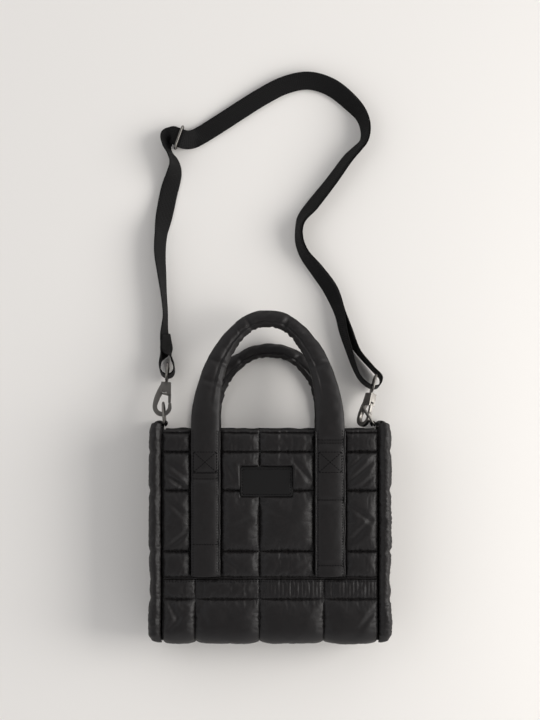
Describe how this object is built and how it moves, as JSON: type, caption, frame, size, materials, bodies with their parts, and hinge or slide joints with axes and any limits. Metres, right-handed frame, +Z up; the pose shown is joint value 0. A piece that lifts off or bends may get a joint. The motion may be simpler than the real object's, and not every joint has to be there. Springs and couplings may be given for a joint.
{
  "type": "quilted mini tote bag",
  "caption": "Small quilted tote bag lying on its back, with padded handles folded over the mouth and a clip-on webbing shoulder strap",
  "frame": {"origin": "on the floor, under the middle of the bag's body, which lies on its back", "axes": "+X across the bag to the right of its front, +Y from its base to its mouth, +Z up through its front"},
  "size_m": [0.2658, 0.6386, 0.0625],
  "materials": {
    "quilted_nylon": "satin black nylon over padding, stitched in lines",
    "strap_webbing": "ribbed black nylon webbing",
    "plated_metal": "cast zinc and bent wire with a grey nickel plate",
    "sewn_patch": "bare matte black patch with a stitched border"
  },
  "bodies": {
    "bag": {"front_panel": "quilted_nylon", "back_panel": "quilted_nylon", "base_panel": "quilted_nylon", "gusset_left": "quilted_nylon", "gusset_right": "quilted_nylon", "handle_front": "quilted_nylon", "handle_back": "quilted_nylon", "ring_tab_left": "strap_webbing", "ring_tab_right": "strap_webbing", "strap_webbing": "strap_webbing", "d_ring_left": "plated_metal", "d_ring_right": "plated_metal", "hook_eye_left": "plated_metal", "hook_eye_right": "plated_metal", "hook_body_left": "plated_metal", "hook_body_right": "plated_metal", "strap_slider": "plated_metal", "label_patch": "sewn_patch"},
    "gate_left": {"hook_gate_left": "plated_metal"},
    "gate_right": {"hook_gate_right": "plated_metal"}
  },
  "joints": [
    {"name": "gate_left", "type": "hinge", "parent": "bag", "child": "gate_left", "pos_m": [-0.11148, 0.15531, 0.02193], "axis": [-0.0233, -0.2662, -0.9636], "range_deg": [0, 12], "stiffness_Nm_per_rad": 0.02},
    {"name": "gate_right", "type": "hinge", "parent": "bag", "child": "gate_right", "pos_m": [0.11203, 0.14402, 0.02482], "axis": [0.7883, -0.3346, -0.5163], "range_deg": [0, 12], "stiffness_Nm_per_rad": 0.02}
  ]
}
